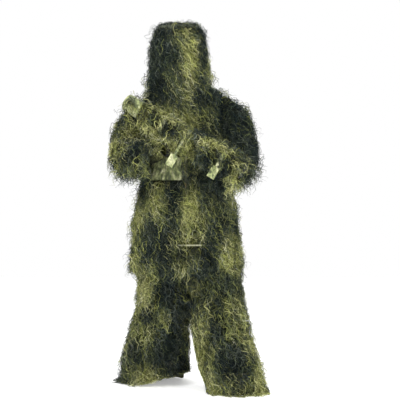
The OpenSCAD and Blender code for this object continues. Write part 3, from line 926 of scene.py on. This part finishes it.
def gathered_folds(points):
    """Close upright pleats, as elastic makes in the waist."""
    angle = np.arctan2(points[:, 0] - TORSO_X, -(points[:, 1] - TORSO_Y))
    wobble = 1.6 * lattice(points, 0.05, 5)
    pleat = PLEAT_DEPTH * np.sin(angle * PLEATS + PLEAT_WOBBLE * wobble)
    return pleat * (0.5 + lattice(points, 0.03, 6)) + PLEATS_PROUD


# ---------------------------------------------------------------- what the garments share

JACKET_NODES = ("jacket_yoke", "jacket_chest_right", "jacket_chest_left", "jacket_back", "jacket_sides")
SKIRT_NODES = ("skirt_front_right", "skirt_front_left", "skirt_back")

WRAP_PROFILE = [(d, WRAP_RADIUS) for d in np.linspace(STOCK_LENGTH + WRAP_SEAM, WRAP_LENGTH, WRAP_RINGS)]

# The outer surfaces that carry threads
surfaces = {
    "hood": outside_of("hood_crown", "hood_sides"),
    "veil": front_of(outside_of("face_veil")),
    "jacket": outside_of(*JACKET_NODES),
    "waist": facing_out(outside_of("waist_gather")),
    "skirt": outside_of(*SKIRT_NODES),
    "right_sleeve": sleeve_surface("right"),
    "left_sleeve": sleeve_surface("left"),
    "right_leg": outside_of("right_thigh", "right_shin"),
    "left_leg": outside_of("left_thigh", "left_shin"),
    "wrap": wrap_triangles(WRAP_PROFILE),
    "stock": wrap_triangles(STOCK_PROFILE),
}
all_surfaces = tree_of(np.concatenate(list(surfaces.values())))

jute = jute_material()
thread_mat = mat_material()
camo = camo_material()
# The materials of CAD nodes that stay as they are, by slot
slot_materials = {
    "camo_cloth": camo,
    "hem_tape": ribbed_material("pale_tape", (0.48, 0.48, 0.31), 500),
    "tape_cloth": ribbed_material("green_tape", (0.05, 0.06, 0.035), 500),
    "elastic": ribbed_material("elastic", (0.02, 0.02, 0.02), 400),
    "zip_metal": metal_material(),
}

# The most strands that one piece holds
PIECE_STRANDS = 2300
# The patch at this knot chooses a strand's yarn.
COLOUR_KNOT = 9
# How far the strands of a tuft are from its middle, and how much that turns them apart
TUFT_RADIUS = 0.010
TUFT_TURN = 0.7
STRAND_RADIUS = (0.0006, 0.0013)
# The share of strands that stand off loose, how far, and how thin they are
LOOSE_SHARE, LOOSE_RISE, LOOSE_THIN = 0.05, 0.012, 0.6
# How uneven the coat of threads is: its least and added height, and the size of its bulges
BULGE_LEAST, BULGE_MORE, BULGE_SIZE = 0.15, 1.8, 0.06
BULGE_SEED = 8
# Long locks that hang over the tufts
LOCKS = {"length": (0.11, 0.18), "high": 0.024, "start": (0.4, 0.5), "droop": 0.6, "curl": 0.01}


def threads(name, body, triangles, count, seed, length, inset=0.005, low=-0.002, high=0.013, keep=None,
            **style):
    """Tufts of strands over a surface, from heights low at their roots to high at their tips."""
    rng = np.random.default_rng(seed)
    tufts, normals = scatter(triangles, count // STRANDS_IN_TUFT, rng, keep)
    turns = across(rng.normal(size=tufts.shape), normals)
    bulge = BULGE_LEAST + BULGE_MORE * lattice(tufts, BULGE_SIZE, BULGE_SEED)
    per_tuft = (tufts, normals, turns, bulge)
    tufts, normals, turns, bulge = (np.repeat(a, STRANDS_IN_TUFT, axis=0) for a in per_tuft)
    spread = across(rng.normal(size=tufts.shape), normals)
    roots = tufts - normals * inset + spread * rng.uniform(0, TUFT_RADIUS, (len(tufts), 1))
    turns = unit(turns + TUFT_TURN * spread)
    lengths = rng.uniform(*length, len(roots))
    tips = high * bulge * rng.uniform(0.4, 1.6, len(roots))
    radii = rng.uniform(*STRAND_RADIUS, len(roots))
    loose = rng.random(len(roots)) < LOOSE_SHARE
    tips[loose] += LOOSE_RISE
    radii[loose] *= LOOSE_THIN
    paths = grow(roots, normals, turns, lengths, rng, all_surfaces, low, tips, **style)
    tints = yarn_colours(paths[:, COLOUR_KNOT], normals, rng)
    seen = np.flatnonzero(~covers_bare(paths) & ~over_crown(paths))
    pieces = []
    for part in np.array_split(seen, math.ceil(len(seen) / PIECE_STRANDS)):
        piece = strand_mesh(f"{name}_{len(pieces) + 1}", paths[part], radii[part], tints[part], rng)
        piece.data.materials.append(jute)
        if body:
            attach(piece, body)
        pieces.append(piece)
    return pieces


def dress(piece, body, slot, *nodes):
    """Puts a piece on its body in place of CAD nodes."""
    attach(piece, body)
    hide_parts(*nodes)


# ---------------------------------------------------------------- the garments

# The hood's fringe grows from below this height.
HOOD_FRINGE_Z = 1.58


def make_hood():
    """The hood, its lower fringe and the threads of the veil's brow band, which tips back with it."""
    surface = surfaces["hood"]
    edge = surface[surface[:, :, 2].mean(axis=1) < HOOD_FRINGE_Z]
    piece = cloth("hood_cloth", surface, thread_mat, folds=soft_folds(size=0.06, depth=0.003, seed=3))
    dress(piece, "hood", "thread_cloth", "hood_crown", "hood_sides")
    tufts = threads("hood_threads", "hood", surface, count=3000, seed=11, length=(0.06, 0.14), high=0.016,
                    start=(0.3, 0.8))
    tufts += threads("hood_fringe", "hood", edge, count=1000, seed=31, length=(0.1, 0.17), start=(0.1, 0.3),
                     droop=0.8, wander=0.7)
    tufts += threads("brow_threads", "hood", outside_of("veil_brow_band"), count=320, seed=33,
                     length=(0.07, 0.14), inset=0.0, high=0.008, start=(0.2, 0.3), droop=0.8)


def make_veil():
    piece = cloth("veil_cloth", surfaces["veil"], thread_mat, levels=1)
    dress(piece, "veil", "veil_net", "face_veil")
    tufts = threads("veil_threads", "veil", surfaces["veil"], count=1700, seed=12, length=(0.08, 0.17),
                    inset=0.003)


def make_collar():
    piece = cloth("collar_cloth", facing_out(outside_of("collar")), thread_mat, inset=0.001)
    dress(piece, "suit", "thread_cloth", "collar")


def make_jacket():
    surface = surfaces["jacket"]
    piece = cloth("jacket_cloth", surface, thread_mat, folds=soft_folds(size=0.08, depth=0.004, seed=4))
    dress(piece, "suit", "thread_cloth", *JACKET_NODES)
    tufts = threads("jacket_threads", "suit", surface, count=5000, seed=13, length=(0.07, 0.14))
    tufts += threads("jacket_locks", "suit", surface, count=800, seed=43, **LOCKS)


def make_waist():
    """The gathered panel of printed cloth round the waist."""
    surface = surfaces["waist"]
    piece = cloth("waist_cloth", surface, camo, inset=0.002, folds=gathered_folds, levels=4)
    dress(piece, "suit", "camo_cloth", "waist_gather")
    tufts = threads("waist_threads", "suit", surface, count=1700, seed=14, length=(0.07, 0.14))


def make_skirt():
    surface = surfaces["skirt"]
    piece = cloth("skirt_cloth", surface, thread_mat, folds=soft_folds(size=0.07, depth=0.006, seed=5))
    dress(piece, "suit", "thread_cloth", *SKIRT_NODES)
    tufts = threads("skirt_threads", "suit", surface, count=7000, seed=15, length=(0.08, 0.16))
    tufts += threads("skirt_locks", "suit", surface, count=1400, seed=45, **LOCKS)


def make_seat():
    piece = cloth("seat_cloth", outside_of("trouser_seat"), thread_mat)
    dress(piece, "suit", "thread_cloth", "trouser_seat")


# The threads of a cuff grow from this near its elastic, and reach on along the forearm.
CUFF_REACH = 0.07
CUFF_PULL = 0.5


def make_sleeve(side, seed):
    body = f"{side}_sleeve"
    surface = surfaces[body]
    folds = soft_folds(size=0.05, depth=0.004, seed=6)
    piece = cloth(f"{side}_sleeve_cloth", surface, thread_mat, folds=folds)
    dress(piece, body, "thread_cloth", f"{side}_upper_sleeve", f"{side}_forearm_sleeve")
    tufts = threads(f"{side}_sleeve_threads", body, surface, count=3200, seed=seed, length=(0.06, 0.12),
                    start=(0.4, 0.6))
    short_locks = {**LOCKS, "length": (0.08, 0.14)}
    tufts += threads(f"{side}_sleeve_locks", body, surface, count=500, seed=seed + 60, **short_locks)
    cuff = middle_of(f"{side}_cuff_elastic")
    along = unit(cuff - middle_of(f"{side}_forearm_sleeve"))
    near = np.linalg.norm(surface.mean(axis=1) - cuff, axis=1) < CUFF_REACH
    tufts += threads(f"{side}_cuff_threads", body, surface[near], count=400, seed=seed + 30,
                     length=(0.05, 0.11), start=(0.2, 0.5), droop=0.25, toward=CUFF_PULL * along)


# A shin's threads grow from below this height and ride on the lower leg.
SHIN_TOP_Z = 0.3
LEG_INSET = 0.009


def bend_at_knee(piece):
    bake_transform(piece)


def make_leg(side, seed):
    surface = surfaces[f"{side}_leg"]
    folds = soft_folds(size=0.07, depth=0.004, seed=7)
    piece = cloth(f"{side}_leg_cloth", surface, thread_mat, inset=LEG_INSET, folds=folds)
    bend_at_knee(piece)
    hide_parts(f"{side}_thigh", f"{side}_shin")

    height = surface[:, :, 2].mean(axis=1)
    upper, lower = surface[height > SHIN_TOP_Z], surface[height <= SHIN_TOP_Z]
    body = f"{side}_lower_leg"
    limit = beside_gap(side)
    tuft = {"count": 2800, "length": (0.08, 0.16), "inset": LEG_INSET, "limit": limit}
    lock = {"count": 500, "limit": limit, **LOCKS}
    knee = threads(f"{side}_knee_threads", None, upper, seed=seed, **tuft)
    knee += threads(f"{side}_knee_locks", None, upper, seed=seed + 50, **lock)
    for part in knee:
        bend_at_knee(part)
    shin = threads(f"{side}_shin_threads", body, lower, seed=seed + 1, **tuft)
    shin += threads(f"{side}_shin_locks", body, lower, seed=seed + 51, **lock)


# The wrap's threads start at this distance from the stock's end, and the stock has a band of them before it.
WRAP_THREADS_FROM = 0.11
STOCK_BAND, STOCK_BAND_HALF = 0.045, 0.02


def make_wrap():
    """The rifle wrap's threaded tube, without its three straps."""
    def past_stock(points):
        return (along_wrap(points) > WRAP_THREADS_FROM).astype(float)

    surface = surfaces["wrap"]
    piece = cloth("wrap_cloth", surface, thread_mat, inset=0.001)
    dress(piece, "rifle_wrap", "thread_cloth", "wrap_front_panel", "wrap_back_panel")
    tufts = threads("wrap_threads", "rifle_wrap", surface, count=2200, seed=30, length=(0.04, 0.085),
                    inset=0.001, low=0.001, high=0.013, keep=past_stock)


def make_stock():
    """The printed cover over the rifle's stock, at the wrap's upper end."""
    def in_band(points):
        return (np.abs(along_wrap(points) - STOCK_BAND) < STOCK_BAND_HALF).astype(float)

    piece = cloth("stock_cloth", surfaces["stock"], camo, inset=0.001)
    dress(piece, "rifle_wrap", "camo_cloth", "wrap_stock_cover")
    tufts = threads("stock_threads", "rifle_wrap", surfaces["stock"], count=140, seed=32, length=(0.05, 0.1),
                    inset=0.001, low=0.002, keep=in_band)


def colour_cad_nodes():
    for subpart in frame["record"]["subparts"]:
        material = slot_materials.get(subpart["material_slot"])
        if material:
            for place in frame["nodes"][subpart["node"]].material_slots:
                place.material = material


add_camera()
add_studio()

make_hood()
make_veil()
make_collar()
make_jacket()
make_waist()
make_skirt()
make_seat()
make_sleeve("right", seed=17)
make_leg("right", seed=19)
make_sleeve("left", seed=18)
make_leg("left", seed=22)
make_wrap()
make_stock()
colour_cad_nodes()
